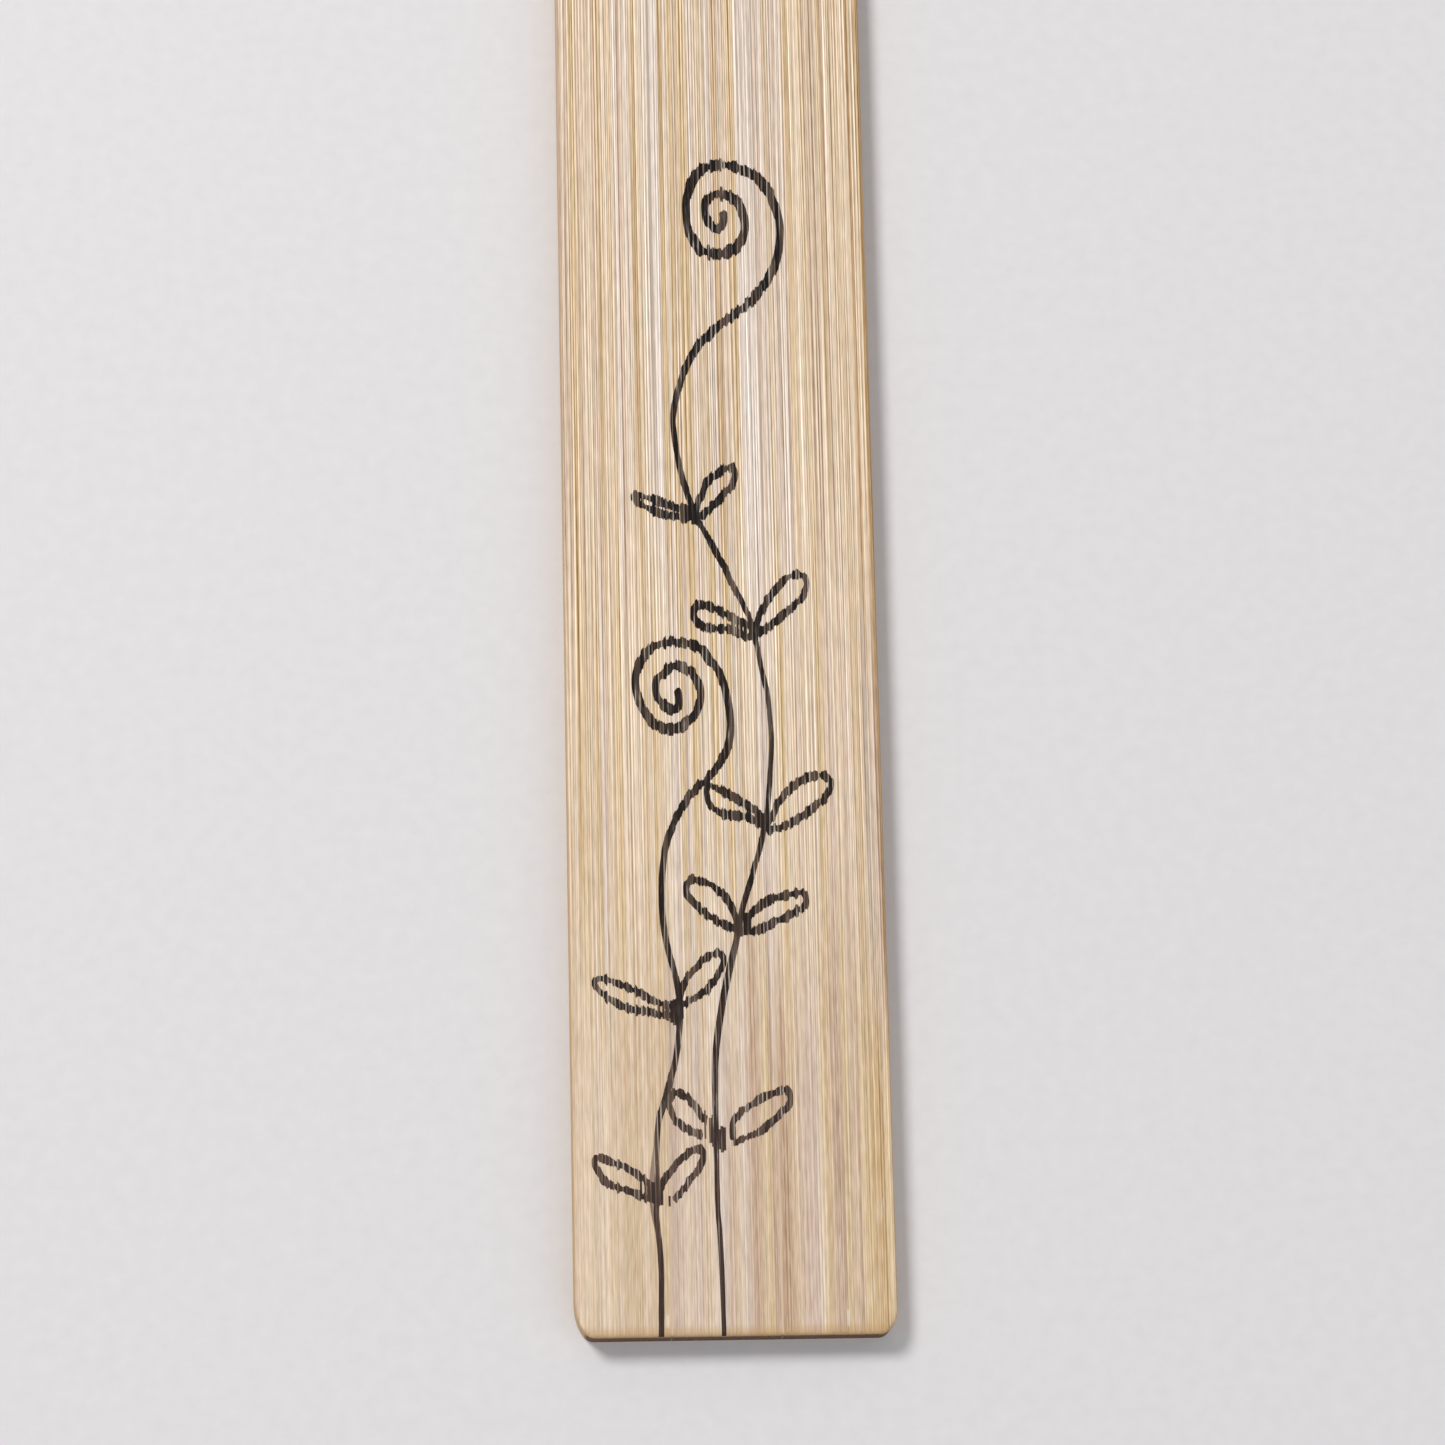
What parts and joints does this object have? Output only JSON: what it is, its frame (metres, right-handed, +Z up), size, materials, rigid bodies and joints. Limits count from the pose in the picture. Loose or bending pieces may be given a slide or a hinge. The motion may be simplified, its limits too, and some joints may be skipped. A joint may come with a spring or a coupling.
{
  "type": "bone folder",
  "caption": "Flat bamboo folder for creasing paper, with a square end, a thinned round tip and two curling vines drawn in ink on its face.",
  "frame": {"origin": "middle of the flat back, under the middle of the slat's length and width", "axes": "+X across the slat, +Y along it from the square end to the creasing tip, +Z up from the flat back to the drawn face"},
  "size_m": [0.025, 0.152, 0.003],
  "materials": {
    "bamboo": "sanded bare bamboo with a faint sheen",
    "glue": "cured wood glue",
    "ink": "matt drawing ink soaked into the grain"
  },
  "bodies": {
    "root": {"bamboo_strip_left": "bamboo", "bamboo_strip_middle": "bamboo", "bamboo_strip_right": "bamboo", "glue_line_left": "glue", "glue_line_right": "glue", "ink_vine_tall": "ink", "ink_vine_short": "ink"}
  },
  "joints": []
}
